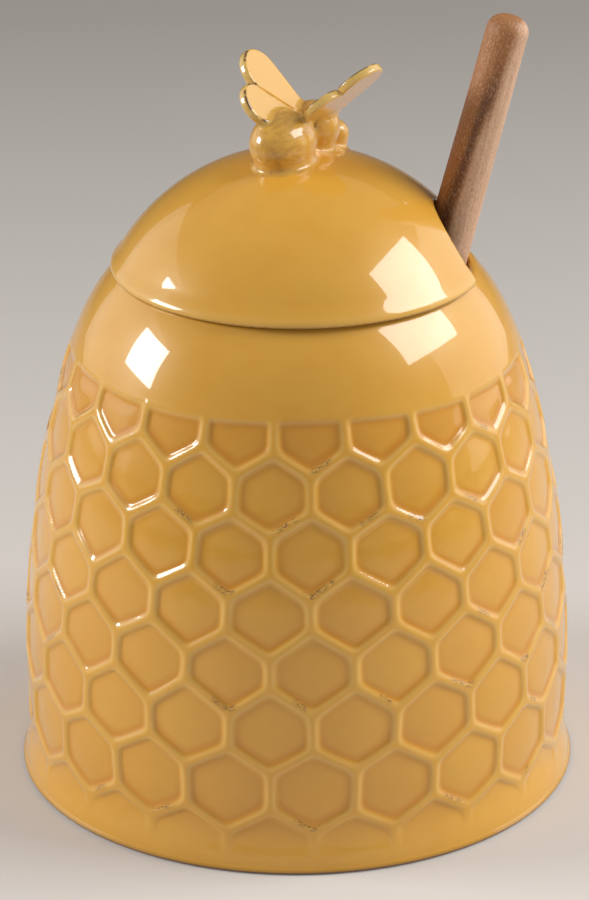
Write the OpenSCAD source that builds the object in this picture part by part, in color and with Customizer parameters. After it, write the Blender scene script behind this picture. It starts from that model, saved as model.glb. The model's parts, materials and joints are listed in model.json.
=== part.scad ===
// Glazed stoneware honey pot with a loose domed lid, a bee finial and a wooden dipper.
// Millimetres, +Z up. The origin is on the pot's axis, at the surface it stands on.
// The camera side is -Y, and the dipper leans out through the lid's arch towards +X.

/* [Pot body] */
// Height of the pot's rim above the surface it stands on
rim_z = 121.5; // [110:0.5:135]
// Radius of the foot, where the base flares out
foot_r = 65.2; // [64:0.1:68]
// Radius at the widest part of the wall
belly_r = 63.8; // [62:0.1:64.4]
// Height of the widest part of the wall
belly_z = 25; // [20:1:30]
// Share of the way in from the belly to the rim that the shoulder's tight curve takes
shoulder_share = 0.21; // [0.1:0.01:0.3]
// Thickness of the thrown wall
wall = 5.5; // [4.5:0.1:7]
// Thickness of the floor, measured above the foot recess
floor_t = 5; // [4:0.5:7]
// Radius of the rounded corner between floor and wall inside
floor_fillet = 8; // [4:0.5:12]

/* [Foot ring] */
// Depth of the recess turned under the base
foot_recess = 2; // [1:0.1:3]
// Width of the unglazed ring that the pot stands on
foot_ring_w = 11; // [8:0.5:16]
// Height of the plain flared band above the surface
base_band_h = 8; // [6:0.5:9]

/* [Rim] */
// Outer radius of the rim
rim_r = 43.8; // [43.4:0.1:44.2]
// Radius of the mouth
mouth_r = 39.3; // [37:0.1:40]
// Height of the straight inside face of the mouth
mouth_h = 8; // [7:0.5:11]
// Rounding of the rim's outer edge
rim_round = 1.6; // [1:0.1:1.8]
// Rounding of the rim's inner edge
mouth_round = 1.2; // [0.6:0.1:1.5]

/* [Honeycomb] */
// Number of cells round the pot
cells = 21; // [17:1:23]
// Number of whole rows of cells
rows = 6; // [4:1:6]
// Height of the middle of the lowest whole row
row_z0 = 19.5; // [19:0.1:21]
// Step from the lowest row to the one above it
row_pitch = 14.9; // [14.4:0.1:15]
// How much each later step is shorter than the one before
row_shrink = 0.55; // [0.45:0.05:0.7]
// Width of the ridge between neighbouring cells
ridge_w = 2.8; // [2.2:0.1:3.6]
// Depth of a cell below the wall, at its middle
cell_depth = 1.5; // [1.1:0.1:1.8]
// Turn of the first row from the front
comb_turn = 2.7; // [-4:0.1:6]
// Distance of the flat top line of the comb below the rim
plain_h = 17.8; // [16.5:0.1:20]

/* [Lid] */
// Outer radius of the lid
lid_r = 44; // [43:0.1:44.4]
// Height of the dome above the rim
dome_h = 26.6; // [24:0.2:30]
// Thickness of the dome
lid_wall = 4.5; // [3.5:0.1:5.5]
// Rounding of the lid's lower edge
lid_lip = 1.8; // [1.2:0.1:2.2]
// Depth of the locating flange below the seat
flange_h = 6; // [4:0.5:6.5]
// Thickness of the locating flange
flange_t = 3.7; // [3:0.1:4.5]
// Radial clearance between the flange and the mouth
flange_gap = 0.8; // [0.5:0.1:1.5]
// Radius of the arch cut in the lid's side for the dipper
arch_r = 14.6; // [14:0.1:15.6]
// Height of the arch's centre above the rim
arch_stilt = 1.8; // [1.2:0.1:2.4]
// Rounding where the arch meets the lid's lower edge
arch_corner = 4; // [1:0.5:5]

/* [Bee] */
// Length of the abdomen
abdomen_l = 18; // [16:0.5:20]
// Diameter of the abdomen
abdomen_d = 14.2; // [12:0.2:15]
// Diameter of the thorax
thorax_d = 12; // [11:0.2:13]
// Diameter of the head
head_d = 6.8; // [6:0.2:8]
// Height of the thorax centre above the dome
thorax_lift = 4.8; // [4:0.2:5.6]
// Height of the abdomen centre above the dome
abdomen_lift = 4.2; // [3:0.2:5]
// Height of the head centre above the dome
head_lift = 3; // [2:0.2:3.2]
// Distance from the thorax centre back to the abdomen centre
abdomen_back = 13.6; // [13:0.1:14]
// Distance from the thorax centre forward to the head centre
head_ahead = 8; // [7:0.1:8.2]
// Turn of the bee's spine to the right of straight away from the front
spine_turn = 36; // [20:1:50]

/* [Bee wings] */
// Thickness of the wings
wing_t = 2; // [1.6:0.1:2.6]
// Rise of the wings above level
wing_rise = 48; // [40:1:54]
// Turn of the wing pair to the right of straight away from the front
wing_turn = 23; // [14:1:30]
// Radius of the forewing's round end
forewing_r = 7; // [6:0.1:8]
// Reach of the forewing, from the thorax centre to the middle of its round end
forewing_reach = 16.5; // [15:0.1:18]
// Sweep of the forewing towards the tail
forewing_sweep = 10; // [5:1:16]
// Radius of the hindwing's round end
hindwing_r = 4.8; // [4:0.1:5.4]
// Reach of the hindwing, from the thorax centre to the middle of its round end
hindwing_reach = 18.2; // [17:0.1:19]
// Sweep of the hindwing towards the tail
hindwing_sweep = 51; // [46:1:54]
// Radius of both wings at the thorax
wing_root_r = 2.4; // [2:0.1:3]

/* [Dipper] */
// Diameter of the handle
handle_d = 9.5; // [8:0.1:9.8]
// Height of the handle's tip above the rim
tip_over_rim = 57.5; // [45:0.5:65]
// Rounding of the handle's tip
tip_round = 2.6; // [1.5:0.1:4]
// Lean of the dipper from upright
dipper_lean = 14.2; // [13:0.1:15]
// Turn of the dipper round the pot, from the middle of the arch
dipper_turn = 3; // [-4:0.5:5]
// Diameter of the head at its middle
head_mid_d = 26; // [22:0.5:28]
// Diameter of the head at its two ends
head_end_d = 18; // [14:0.5:20]
// Length of the head
head_l = 38; // [32:0.5:42]
// Diameter of the neck above the head
neck_d = 7.6; // [6.5:0.1:8]
// Length of the neck, up to where the handle has its full diameter
neck_l = 12; // [8:0.5:16]
// Number of grooves turned in the head
grooves = 6; // [4:1:7]
// Width of each groove
groove_w = 2.6; // [2:0.1:3]
// Diameter of the core left inside the grooves
core_d = 11; // [9:0.5:12]
// Running clearance between the dipper and what it leans and stands on
dipper_gap = 0.3; // [0.2:0.1:0.6]

/* [Hidden] */
$fn = 96;

HONEY = [0.88, 0.66, 0.32];
PALE_HONEY = [0.94, 0.76, 0.45];
BARE_WOOD = [0.68, 0.46, 0.32];
OVERCUT = 1;

// Pot derived values
floor_z = foot_recess + floor_t;
// The rounded corner of the floor meets the wall here
floor_top_z = floor_z + floor_fillet;
foot_round = 0.8;
ring_inner_r = foot_r - foot_round - foot_ring_w;
recess_bevel = foot_recess;
// The wall's curve ends at this height and radius, where the rim's own rounding takes over
wall_top_z = rim_z - 3;
wall_top_r = rim_r + 0.4;
draw_in = belly_r - wall_top_r;
draw_h = wall_top_z - belly_z;
gallery_z = rim_z - mouth_h;
// The wall inside meets the gallery's sloping underside here
gallery_slope_h = 6;
gallery_foot_z = gallery_z - gallery_slope_h;
// How far the base band is drawn in from a straight flare
band_dip = 0.3;
wall_bands = 14;
round_steps = 4;

// Comb derived values
comb_top_z = rim_z - plain_h;
cell_turn = 360 / cells;
row_step = [for (k = [0:rows]) row_pitch - row_shrink * k];

// Lid derived values: the dome is part of a ball that passes through the lid's edge
dome_r = (lid_r * lid_r + dome_h * dome_h) / (2 * dome_h);
dome_cz = rim_z + dome_h - dome_r;
flange_r = mouth_r - flange_gap;
flange_in_r = flange_r - flange_t;
hollow_r = dome_r - lid_wall;
lip_cr = sqrt(pow(dome_r - lid_lip, 2) - pow(rim_z + lid_lip - dome_cz, 2));
lip_lean = atan2(rim_z + lid_lip - dome_cz, lip_cr);
arch_start = hollow_r / 3;
corner_lap = 0.5;

// Bee derived values: the thorax stands just behind the top of the dome
thorax_x = 4.2;
thorax_y = 6.5;
abdomen_x = thorax_x - abdomen_back * sin(spine_turn);
abdomen_y = thorax_y - abdomen_back * cos(spine_turn);
head_x = thorax_x + head_ahead * sin(spine_turn);
head_y = thorax_y + head_ahead * cos(spine_turn);
abdomen_bands = 16;
wing_steps = 18;

// Dipper derived values: the axis passes the rim so that the handle just clears the mouth
handle_r = handle_d / 2;
axis_rim_r = mouth_r - dipper_gap - handle_r / cos(dipper_lean);
end_r = head_end_d / 2;
end_z = floor_z + dipper_gap + end_r * sin(dipper_lean);
below_rim = (rim_z - end_z) / cos(dipper_lean);
dipper_l = below_rim + tip_over_rim / cos(dipper_lean);
barrel_r = (pow(head_l / 2, 2) + pow((head_mid_d - head_end_d) / 2, 2)) / (head_mid_d - head_end_d);
groove_step = head_l / (grooves + 1);
neck_r = neck_d / 2;

// The wall draws in with the square of the way up, and the shoulder with its sixth power
function way_up(z) = (z - belly_z) / draw_h;
function wall_r(z) = let (t = way_up(z))
    belly_r - draw_in * ((1 - shoulder_share) * pow(t, 2) + shoulder_share * pow(t, 6));
function wall_slope(z) = let (t = way_up(z))
    atan(draw_in / draw_h * (2 * (1 - shoulder_share) * t + 6 * shoulder_share * pow(t, 5)));
function row_z(k) = k <= 0 ? row_z0 : row_z(k - 1) + row_step[k - 1];
function dome_z(x, y) = dome_cz + sqrt(dome_r * dome_r - x * x - y * y);
function arc(cr, cz, r, from, to, steps) =
    [for (i = [0:steps]) let (a = from + (to - from) * i / steps) [cr + r * cos(a), cz + r * sin(a)]];

// Outline of half the pot's section, from the axis under the base round to the floor inside
function pot_outline() = concat(
    [[0, foot_recess], [ring_inner_r - recess_bevel, foot_recess], [ring_inner_r, 0]],
    arc(foot_r - foot_round, foot_round, foot_round, -90, 0, round_steps),
    [[(foot_r + wall_r(base_band_h)) / 2 - band_dip, base_band_h / 2]],
    [for (i = [0:wall_bands]) let (z = base_band_h + (wall_top_z - base_band_h) * i / wall_bands)
        [wall_r(z), z]],
    arc(rim_r - rim_round, rim_z - rim_round, rim_round, 0, 90, round_steps),
    arc(mouth_r + mouth_round, rim_z - mouth_round, mouth_round, 90, 180, round_steps),
    [[mouth_r, gallery_z]],
    [for (i = [0:wall_bands]) let (z = gallery_foot_z - (gallery_foot_z - floor_top_z) * i / wall_bands)
        [wall_r(z) - wall, z]],
    arc(wall_r(floor_top_z) - wall - floor_fillet, floor_top_z, floor_fillet, 0, -90, 2 * round_steps),
    [[0, floor_z]]
);

// One cell of the comb as a six-sided plug whose flat inner end is the cell's floor
module cell_plug(z, wide, high) {
    slope = wall_slope(z);
    translate([wall_r(z) - cell_depth * cos(slope), 0, z - cell_depth * sin(slope)])
        rotate([0, 90 - slope, 0])
            linear_extrude(height = 3 * cell_depth + OVERCUT)
                polygon([[-high / 2, 0], [-high / 4, wide / 2], [high / 4, wide / 2],
                         [high / 2, 0], [high / 4, -wide / 2], [-high / 4, -wide / 2]]);
}

// A whole ring of cells; every second row is turned by half a cell
module cell_row(k) {
    z = row_z(k);
    // Two thirds of the distance to the next row is the side of a six-sided cell
    high = (row_step[k] * 4 / 3 - ridge_w) / cos(wall_slope(z));
    wide = 2 * PI * wall_r(z) / cells - ridge_w;
    for (i = [0:cells - 1])
        rotate([0, 0, comb_turn - 90 + cell_turn * (i + (k % 2) / 2)]) cell_plug(z, wide, high);
}

module pot() {
    color(HONEY) difference() {
        rotate_extrude() polygon(pot_outline());
        for (k = [0:rows - 1]) cell_row(k);
        // The row above is cut off level under the smooth shoulder
        intersection() {
            cell_row(rows);
            cylinder(h = comb_top_z, r = foot_r);
        }
    }
}

// Half the dome's section, with its lower edge rounded
module dome_section() {
    difference() {
        intersection() {
            translate([0, dome_cz]) circle(r = dome_r);
            translate([0, rim_z]) square([dome_r, dome_h + OVERCUT]);
        }
        polygon([[lip_cr, rim_z + lid_lip], [lip_cr, rim_z - OVERCUT],
                 [lip_cr + 3 * lid_lip, rim_z - OVERCUT],
                 [lip_cr + 3 * lid_lip * cos(lip_lean), rim_z + lid_lip + 3 * lid_lip * sin(lip_lean)]]);
    }
    translate([lip_cr, rim_z + lid_lip]) circle(r = lid_lip);
}

// The arch's outline seen from the dipper's side: round above its centre, straight below it
module arch_outline() {
    translate([0, rim_z + arch_stilt]) circle(r = arch_r);
    translate([-arch_r, rim_z - flange_h - OVERCUT])
        square([2 * arch_r, flange_h + OVERCUT + arch_stilt]);
    for (side = [0, 1]) mirror([side, 0]) difference() {
        translate([arch_r - corner_lap, rim_z - corner_lap]) square(arch_corner + corner_lap);
        translate([arch_r + arch_corner, rim_z + arch_corner]) circle(r = arch_corner);
    }
}

module lid() {
    color(HONEY) difference() {
        rotate_extrude() difference() {
            union() {
                dome_section();
                translate([flange_in_r, rim_z - flange_h]) square([flange_t, flange_h + lid_lip]);
            }
            // The hollow under the dome, and the bore of the flange
            intersection() {
                translate([0, dome_cz]) circle(r = hollow_r);
                translate([0, rim_z - flange_h - OVERCUT]) square([flange_in_r, dome_r]);
            }
        }
        translate([arch_start, 0, 0]) rotate([90, 0, 90])
            linear_extrude(height = dome_r) arch_outline();
    }
}

module dome_ball() {
    translate([0, 0, dome_cz]) sphere(r = dome_r);
}

// A bee piece sits on the dome: its own centre is lifted above the glaze by a named height
module on_dome(x, y, lift) {
    translate([x, y, dome_z(x, y) + lift]) children();
}

module abdomen_solid() {
    on_dome(abdomen_x, abdomen_y, abdomen_lift) rotate([-90, 0, -spine_turn])
        rotate_extrude()
            polygon([for (i = [0:abdomen_bands]) let (a = -90 + 180 * i / abdomen_bands)
                [abdomen_d / 2 * cos(a), abdomen_l / 2 * sin(a)]]);
}

module thorax_solid() {
    on_dome(thorax_x, thorax_y, thorax_lift) sphere(d = thorax_d);
}

module bee_abdomen() {
    color(HONEY) difference() {
        abdomen_solid();
        dome_ball();
    }
}

module bee_thorax() {
    color(HONEY) difference() {
        thorax_solid();
        dome_ball();
        abdomen_solid();
    }
}

module bee_head() {
    color(HONEY) difference() {
        on_dome(head_x, head_y, head_lift) sphere(d = head_d);
        dome_ball();
        thorax_solid();
    }
}

// A flat drop shape: a round end of radius r at the reach, drawn in to the root
module drop(r, reach) {
    taper = acos((r - wing_root_r) / reach);
    polygon(concat(arc(reach, 0, r, -taper, taper, wing_steps),
                   arc(0, 0, wing_root_r, taper, 360 - taper, round_steps)));
}

// Fore and hind wing of one side, cut from one slab; the slab lies in the wing's own plane,
// with its length outwards along X and the head towards +Y
module wing_pair() {
    translate([0, 0, -wing_t / 2]) linear_extrude(height = wing_t) {
        rotate(-forewing_sweep) drop(forewing_r, forewing_reach);
        rotate(-hindwing_sweep) drop(hindwing_r, hindwing_reach);
    }
}

// side is 1 for the bee's right and -1 for its left
module wing(side) {
    color(PALE_HONEY) difference() {
        on_dome(thorax_x, thorax_y, thorax_lift) rotate([0, 0, -wing_turn])
            mirror([side < 0 ? 1 : 0, 0, 0]) rotate([0, -wing_rise, 0]) wing_pair();
        thorax_solid();
        abdomen_solid();
    }
}

module bee_wing_left() {
    wing(-1);
}

module bee_wing_right() {
    wing(1);
}

// The dipper's own section, standing on the middle of its head's end
module dipper_section() {
    // Head: a barrel outline with grooves turned down to the core
    difference() {
        intersection() {
            square([head_mid_d, head_l]);
            translate([head_mid_d / 2 - barrel_r, head_l / 2]) circle(r = barrel_r, $fn = 192);
        }
        for (i = [1:grooves])
            translate([core_d / 2, i * groove_step - groove_w / 2]) square([head_mid_d, groove_w]);
    }
    // Neck and handle, with a rounded tip
    difference() {
        polygon([[0, head_l - OVERCUT], [neck_r, head_l - OVERCUT], [neck_r, head_l + neck_l / 3],
                 [handle_r, head_l + neck_l], [handle_r, dipper_l], [0, dipper_l]]);
        translate([handle_r - tip_round, dipper_l - tip_round]) square(2 * tip_round);
    }
    intersection() {
        translate([handle_r - tip_round, dipper_l - tip_round]) circle(r = tip_round);
        translate([handle_r - tip_round, dipper_l - tip_round]) square(tip_round);
    }
}

module dipper() {
    color(BARE_WOOD) rotate([0, 0, dipper_turn])
        translate([axis_rim_r, 0, rim_z]) rotate([0, dipper_lean, 0])
            translate([0, 0, -below_rim]) rotate_extrude() dipper_section();
}

pot();
lid();
bee_abdomen();
bee_thorax();
bee_head();
bee_wing_left();
bee_wing_right();
dipper();
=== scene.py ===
import bpy
import json
import math
import numpy as np
from mathutils import Matrix, Vector


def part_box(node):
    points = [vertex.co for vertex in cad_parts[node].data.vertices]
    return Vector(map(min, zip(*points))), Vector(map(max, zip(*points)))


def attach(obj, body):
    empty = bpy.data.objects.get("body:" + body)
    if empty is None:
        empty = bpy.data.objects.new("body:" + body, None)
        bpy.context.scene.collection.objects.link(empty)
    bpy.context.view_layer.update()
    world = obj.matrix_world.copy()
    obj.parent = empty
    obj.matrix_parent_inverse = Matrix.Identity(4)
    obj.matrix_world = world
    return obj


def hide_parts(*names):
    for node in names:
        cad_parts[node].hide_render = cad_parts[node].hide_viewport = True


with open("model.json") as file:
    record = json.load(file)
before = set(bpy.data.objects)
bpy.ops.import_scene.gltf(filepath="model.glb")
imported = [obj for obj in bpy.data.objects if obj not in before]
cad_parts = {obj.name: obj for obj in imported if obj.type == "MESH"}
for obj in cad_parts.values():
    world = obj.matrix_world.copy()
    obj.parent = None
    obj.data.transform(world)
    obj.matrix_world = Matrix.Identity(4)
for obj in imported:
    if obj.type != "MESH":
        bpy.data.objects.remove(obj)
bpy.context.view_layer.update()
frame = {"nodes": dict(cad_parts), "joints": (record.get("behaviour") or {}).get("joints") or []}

# Lengths in this script are millimetres; meshes, lamps and the camera turn them into metres
MM = 0.001

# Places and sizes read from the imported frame
pot_low, pot_high = [np.array(v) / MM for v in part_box("pot")]
lid_high = np.array(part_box("lid")[1]) / MM
RIM_Z = pot_high[2]
FOOT_R = (pot_high[1] - pot_low[1]) / 2
DOME_H = lid_high[2] - RIM_Z

# Pot: its wall is one smooth curve, and its shoulder turns in quickly below the lid's lip
BELLY_R = 63.8
BELLY_Z = 25.0
RIM_R = 40.9
SHOULDER_SHARE = 0.22
SHOULDER_POWER = 11.5
WALL_TOP_Z = RIM_Z - 0.5
RIM_ROUND = 1.45
WALL = 5.5
FLOOR_Z = 7.0
FLOOR_FILLET = 8.0
MOUTH_R = 39.3
MOUTH_H = 8.0
MOUTH_ROUND = 0.9
GALLERY_SLOPE_H = 6.0
GALLERY_ROUND = 1.5
FOOT_RECESS = 2.0
FOOT_ROUND = 0.8
FOOT_RING_W = 11.0
BASE_BAND_H = 8.0
BARE_FOOT_H = 1.1

# Honeycomb: heights of the rows of cells, bottom to top. The first fades out in the base band,
# the last but one is cut level under the plain shoulder, and the last, above that line, only
# bounds the one below it
CELLS = 21
ROW_Z = (4.5, 19.5, 34.8, 48.5, 62.0, 74.5, 88.5, 101.0, 114.0)
COMB_TURN = math.radians(-5.6)
COMB_TOP_Z = RIM_Z - 17.8
RIDGE_HALF = 0.6
FLANK_W = 1.1
CELL_DEPTH = 0.62
CELL_JITTER = 0.6
CORNER_SOFT = 0.55
FLOOR_CROWN = 0.16
RIDGE_CROWN = 0.1
WORN_SHARE = 0.45
COMB_FADE_Z = (3.5, 13.5)
TOP_LINE_WAVE = 0.35
TOP_LINE_SOFT = 1.0
ARRIS_W = 0.38
POOL_W = 1.9
# Between these heights the cells turn darker, as glaze gathers in the topmost ones
DARK_ROW_Z = (92, 100)

# Lid: it lies a little towards the dipper, in the play of its flange
LID_X = 0.6
DOME_R = 47.65
DOME_Z = RIM_Z + DOME_H - DOME_R
LID_WALL = 4.5
LIP_FLARE = 0.6
LIP_H = 5.0
LIP_ROUND = 2.2
INNER_LIP_ROUND = 1.0
FLANGE_H = 6.0
FLANGE_T = 3.7
FLANGE_GAP = 0.8
FLANGE_R = MOUTH_R - FLANGE_GAP
FLANGE_ROUND = 1.4
FLANGE_FILLET = 0.8
ARCH_R = 12.2
ARCH_STILT = 2.5
ARCH_CORNER = 3.8
ARCH_ROUND = 1.4
ARCH_TURN = math.radians(-1.5)

# Bee
THORAX = np.array([4.2, 6.5])
THORAX_R = 6.0
THORAX_LIFT = 4.8
ABDOMEN_HALF_L = 8.7
ABDOMEN_HALF_W = 7.0
ABDOMEN_BACK = 13.2
ABDOMEN_SHIFT = np.array([0.9, 0])
ABDOMEN_LIFT = 4.2
HEAD_R = 3.4
HEAD_AHEAD = 8.0
HEAD_LIFT = 3.0
SPINE_TURN = math.radians(36)
# Fillets between abdomen and thorax, thorax and head, and the bee and the dome
WAIST_FILLET = 1.6
NECK_FILLET = 1.2
LUTE_FILLET = 3.0
LUTE_DEPTH = 1.2
LUTE_REACH = 3.2
# Each wing's turn back, rise, roll and hind reach, fitted to its own outline in the photo
WING_LEFT = (math.radians(13), math.radians(51.5), math.radians(-9), 18.9)
WING_RIGHT = (math.radians(16), math.radians(43), math.radians(15), 13.5)
WING_HALF_T = 1.0
WING_EDGE = 0.6
WING_ROOT_R = 1.7
FORE_SWEEP = math.radians(15)
FORE_END_R = 6.2
FORE_REACH = 17.5
HIND_SWEEP = math.radians(47.5)
HIND_END_R = 5.1
WING_SEAM_DEPTH = 0.35
WING_SEAM_W = 0.55
ROOT_FILLET = 1.6
ROOT_DEPTH = 1.0
ROOT_REACH = 1.5

# Dipper
HANDLE_R = 5.25
TIP_R = 4.8
HEAD_L = 38.0
HEAD_MID_R = 13.0
HEAD_END_R = 9.0
HEAD_EDGE = 0.7
GROOVES = 6
GROOVE_W = 2.6
CORE_R = 5.5
NECK_R = 3.8
NECK_L = 12.0
TIP_ROUND = 3.6
TAPER_L = 75.0
HANDLE_WAVE = 0.05
DIPPER_SHIFT = 0.55

# Widths and lengths of the marks in the glaze, the brown wash and the wood. A noise pattern
# has about one mark to this size
CLOUD_W = 38.46
MOTTLE_W = 8.333
SCRATCH_W = 0.2222
SCRATCH_L = 0.9091
BRUSH_W = 1.111
BRUSH_L = 9.26
SMUDGE_W = 5.882
LINE_BREAK_W = 2.381
# Real wood fibres and pores are finer than these, which are as coarse as they need to be to show
FIBRE_W = 0.6667
FIBRE_L = 19.05
PORE_W = 0.2778
PORE_L = 0.6945
GRAIN_DEPTH = 0.2

# Painted shade and painted light on the handle, along and across the dipper from the middle
# of its lower end: a dark band down its front, and a paler right side where the right lamp falls
SHADE_BAND_X = -0.7
SHADE_BAND_HALF_W = 1.7
SHADE_BAND_CORE_HALF_W = 0.4
SHADE_BAND_Z = 148.0
SHADE_BAND_SLANT = -0.06
SHADE_BAND_FADE_Z = 156.0
SHADE_BAND_END_Z = 168.0
WANDER = 5.0
WANDER_W = 8.333
WANDER_L = 27.78
LIT_SIDE_FROM_X = -0.2
LIT_SIDE_FULL_X = 1.6

# Paper sweep, lamps and air
SWEEP_HALF_W = 2600
SWEEP_FRONT_Y = -3000
BEND_Y = 2300
BEND_R = 700
SWEEP_TOP_Z = 2600
PAPER_DARKENS_Y = (-150, 620)
PAPER_DARKENS_X = (280, 700)
PAPER_GLOW = 0.1
AIR_STRENGTH = 0.36
# Each lamp's distance from the middle of the rim; its azimuth, elevation and roll in degrees;
# its width and height; and its watts
LAMPS = {
    "softbox_right": (900, 87, 36.5, -12, 590, 390, 6.2),
    "softbox_left": (900, -88, 20, 2, 330, 262, 4.7),
    "diffuser_right": (1250, 112, 14, 0, 1400, 900, 4.1),
    "diffuser_left": (1250, -112, 14, 0, 1400, 900, 2.5),
}

# Camera, fitted to the circles of the pot's base and the lid's seam in the photo
CAMERA_AT = (-0.378, -822.5, 416.5)
CAMERA_DOWN = math.radians(22.49)
CAMERA_ROLL = -0.0037
CAMERA_LENS = 153.8
SENSOR_W = 36.0

rng = np.random.default_rng(21)


def on_dome(x, y, lift):
    return np.array([x, y, DOME_Z + math.sqrt(DOME_R ** 2 - (x - LID_X) ** 2 - y * y) + lift])


def above_dome(p):
    return np.linalg.norm(p - [LID_X, 0, DOME_Z], axis=1) - DOME_R


def smooth_step(low, high, x):
    """Rises smoothly from 0 at low to 1 at high; high may be the lesser of the two."""
    t = np.clip((x - low) / (high - low), 0, 1)
    return t * t * (3 - 2 * t)


def soft_min(a, b, k):
    """The lesser of two distances, with a fillet of size k where they meet."""
    h = np.clip(k - np.abs(a - b), 0, None) / k
    return np.minimum(a, b) - h * h * k / 4


def soft_max(a, b, k):
    return -soft_min(-a, -b, k)


def new_mesh(name, points, faces, normals=None, smooth=True):
    """A mesh object from points in millimetres."""
    mesh = bpy.data.meshes.new(name)
    mesh.vertices.add(len(points))
    mesh.vertices.foreach_set("co", (np.asarray(points, float) * MM).ravel())
    sides = len(faces[0])
    mesh.loops.add(len(faces) * sides)
    mesh.loops.foreach_set("vertex_index", np.asarray(faces, np.int32).ravel())
    mesh.polygons.add(len(faces))
    mesh.polygons.foreach_set("loop_start", np.arange(0, len(faces) * sides, sides, dtype=np.int32))
    mesh.update(calc_edges=True)
    mesh.validate()
    mesh.polygons.foreach_set("use_smooth", np.full(len(mesh.polygons), smooth))
    if normals is not None:
        mesh.normals_split_custom_set_from_vertices(normals.tolist())
    piece = bpy.data.objects.new(name, mesh)
    bpy.context.scene.collection.objects.link(piece)
    return piece


def add_attribute(piece, name, values):
    layer = piece.data.attributes.new(name, "FLOAT", "POINT")
    layer.data.foreach_set("value", np.asarray(values, np.float32))


def skin(name, field, low, high, step):
    """The closed surface where field(points) is zero, as quads pulled onto it."""
    axes = [np.arange(a, b + step, step) for a, b in zip(low, high)]
    shape = tuple(len(a) for a in axes)
    grid = np.stack(np.meshgrid(*axes, indexing="ij"), -1)
    value = np.concatenate([field(layer) for layer in grid.reshape(shape[0], -1, 3)]).reshape(shape)
    inside = value < 0
    corner = [np.s_[:-1], np.s_[1:]]
    corners_inside = np.zeros([n - 1 for n in shape], int)
    for i in range(8):
        corners_inside += inside[corner[i & 1], corner[i >> 1 & 1], corner[i >> 2]]
    cell = np.argwhere((corners_inside > 0) & (corners_inside < 8))
    number = np.full([n - 1 for n in shape], -1)
    number[tuple(cell.T)] = np.arange(len(cell))
    total = np.zeros((len(cell), 3))
    count = np.zeros(len(cell))
    quads = []
    for axis in range(3):
        side, other = [a for a in range(3) if a != axis]
        for du in (0, 1):
            for dv in (0, 1):
                start = cell.copy()
                start[:, side] += du
                start[:, other] += dv
                end = start.copy()
                end[:, axis] += 1
                a, b = value[tuple(start.T)], value[tuple(end.T)]
                cut = (a < 0) != (b < 0)
                t = np.where(cut, a / np.where(cut, a - b, 1), 0)
                spot = start.astype(float)
                spot[:, axis] += t
                total[cut] += spot[cut]
                count[cut] += 1
        # Every grid edge that the surface cuts gives one quad between the four cells around it
        here = [np.s_[1:-1]] * 3
        here[axis] = np.s_[:-1]
        ahead = list(here)
        ahead[axis] = np.s_[1:]
        first, second = inside[tuple(here)], inside[tuple(ahead)]
        edge = np.argwhere(first != second)
        edge[:, side] += 1
        edge[:, other] += 1
        flip = second[first != second]
        if axis == 1:
            flip = ~flip
        ring = []
        for du, dv in ((-1, -1), (0, -1), (0, 0), (-1, 0)):
            at = edge.copy()
            at[:, side] += du
            at[:, other] += dv
            ring.append(number[tuple(at.T)])
        ring = np.stack(ring, 1)
        ring[flip] = ring[flip][:, ::-1]
        quads.append(ring)
    points = np.array(low) + total / count[:, None] * step
    for _ in range(4):
        slope = gradient(field, points)
        points -= slope * (field(points) / np.clip((slope ** 2).sum(1), 0.05, None))[:, None]
    slope = gradient(field, points)
    normals = slope / np.linalg.norm(slope, axis=1)[:, None]
    return new_mesh(name, points, np.concatenate(quads), normals), points


def gradient(field, points):
    h = 0.02
    slopes = []
    for axis in range(3):
        shift = np.zeros(3)
        shift[axis] = h
        slopes.append((field(points + shift) - field(points - shift)) / (2 * h))
    return np.stack(slopes, 1)


def revolved(profile, columns):
    """Rings of points about Z and their faces, for a profile of (radius, height) from axis to axis."""
    turn = np.linspace(0, 2 * math.pi, columns, endpoint=False)
    ring = np.array(profile[1:-1])
    points = np.stack([ring[:, :1] * np.cos(turn), ring[:, :1] * np.sin(turn),
                       np.repeat(ring[:, 1:], columns, 1)], -1).reshape(-1, 3)
    return points, ring_faces(len(ring), columns)


def ring_faces(rows, columns):
    row, column = np.meshgrid(np.arange(rows - 1), np.arange(columns), indexing="ij")
    ahead = (column + 1) % columns
    return np.stack([row * columns + column, row * columns + ahead,
                     (row + 1) * columns + ahead, (row + 1) * columns + column], -1).reshape(-1, 4)


def arc(centre_r, centre_z, radius, start, end, steps):
    turn = np.radians(np.linspace(start, end, steps + 1))
    return np.stack([centre_r + radius * np.cos(turn), centre_z + radius * np.sin(turn)], 1)


# Pot

def wall_r(z):
    way = np.abs(z - BELLY_Z) / (RIM_Z - BELLY_Z)
    draw = (1 - SHOULDER_SHARE) * way ** 2 + SHOULDER_SHARE * way ** SHOULDER_POWER
    return BELLY_R - (BELLY_R - RIM_R) * draw


def comb_sites():
    """The middles of the cells as (row, angle, height), each a little off its place as by hand."""
    sites = []
    for row, z in enumerate(ROW_Z):
        for i in range(CELLS):
            angle = COMB_TURN + 2 * math.pi / CELLS * (i + (row % 2 == 1) / 2)
            sites.append((row, angle, z))
    sites = np.array(sites)
    wander = rng.uniform(-CELL_JITTER, CELL_JITTER, (len(sites), 2))
    sites[:, 1] += wander[:, 0] / wall_r(sites[:, 2])
    sites[:, 2] += wander[:, 1]
    return sites


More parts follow.
